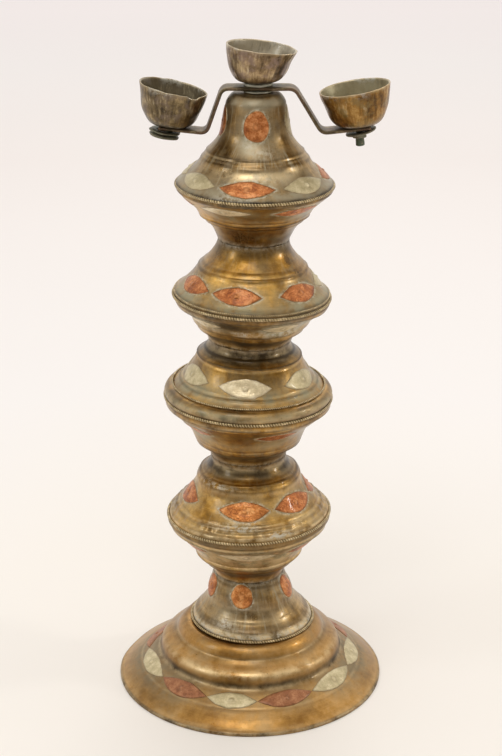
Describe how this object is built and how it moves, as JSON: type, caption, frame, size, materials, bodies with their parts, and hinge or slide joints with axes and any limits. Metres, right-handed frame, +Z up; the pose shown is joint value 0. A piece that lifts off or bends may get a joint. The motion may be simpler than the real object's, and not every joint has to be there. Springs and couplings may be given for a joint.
{
  "type": "candlestick",
  "caption": "Tall sheet-brass candlestick with a stepped round foot, flared lobes, inlaid copper and white-metal almonds, and a bent bar of arms carrying bowl-shaped candle cups.",
  "frame": {"origin": "centre of the round foot, on the surface it stands on", "axes": "+Z up along the stack; +X towards the candle cup with the bolt end showing under it; -Y faces the viewer of the picture"},
  "size_m": [0.2, 0.2, 0.4845],
  "materials": {
    "foot_brass": "warm golden-brown aged brass, rubbed",
    "brass": "aged olive-brown brass with tarnish and old solder at the seams",
    "copper": "stippled red copper plate",
    "white_metal": "dull pale grey-green white metal plate",
    "bar_brass": "dull grey-brown brass bar",
    "cup_brass": "hammered brown-grey brass, scratched",
    "solder": "dull grey solder on milled wire",
    "old_steel": "dark corroded metal with green verdigris"
  },
  "bodies": {
    "stack": {"base_foot": "foot_brass", "foot_almond_1": "copper", "foot_almond_2": "white_metal", "foot_almond_3": "copper", "foot_almond_4": "white_metal", "foot_almond_5": "copper", "foot_almond_6": "white_metal", "foot_almond_7": "white_metal", "foot_almond_8": "copper", "foot_almond_9": "white_metal", "foot_almond_10": "copper", "foot_almond_11": "white_metal", "foot_bell": "brass", "foot_bell_rope": "solder", "foot_bell_oval_1": "copper", "foot_bell_oval_2": "copper", "foot_bell_oval_3": "copper", "foot_bell_oval_4": "copper", "foot_bell_oval_5": "copper", "bowl_4": "brass", "shell_4": "brass", "rope_4": "solder", "bowl_3": "brass", "shell_3": "brass", "rope_3": "solder", "bowl_2": "brass", "shell_2": "brass", "rope_2": "solder", "bowl_1": "brass", "top_bell": "brass", "rope_1": "solder", "top_almond_1": "white_metal", "top_almond_2": "copper", "top_almond_3": "white_metal", "top_almond_4": "copper", "top_almond_5": "white_metal", "top_almond_6": "copper", "top_almond_7": "white_metal", "top_oval_1": "copper", "top_oval_2": "copper", "top_oval_3": "white_metal", "top_oval_4": "copper", "seat_washer": "solder", "centre_bolt": "old_steel", "centre_nut": "old_steel"},
    "arms": {"arm_bar": "bar_brass", "cup_washer": "solder", "left_bolt": "old_steel", "left_nut": "old_steel", "left_washer": "old_steel", "right_bolt": "old_steel", "right_nut": "old_steel", "right_washer": "old_steel"},
    "centre_cup": {"centre_cup": "cup_brass"},
    "left_cup": {"left_cup": "cup_brass"},
    "right_cup": {"right_cup": "cup_brass"}
  },
  "joints": [
    {"name": "arm_swivel", "type": "hinge", "parent": "stack", "child": "arms", "pos_m": [0.0055, 0, 0.4533], "axis": [0, 0, 1], "continuous": true},
    {"name": "centre_cup_spin", "type": "hinge", "parent": "arms", "child": "centre_cup", "pos_m": [0.0055, 0, 0.4572], "axis": [0, 0, 1], "continuous": true},
    {"name": "left_cup_spin", "type": "hinge", "parent": "arms", "child": "left_cup", "pos_m": [-0.0555, 0, 0.42518], "axis": [0.1045, 0, 0.9945], "continuous": true},
    {"name": "right_cup_spin", "type": "hinge", "parent": "arms", "child": "right_cup", "pos_m": [0.075, 0, 0.4252], "axis": [-0.1045, 0, 0.9945], "continuous": true}
  ]
}
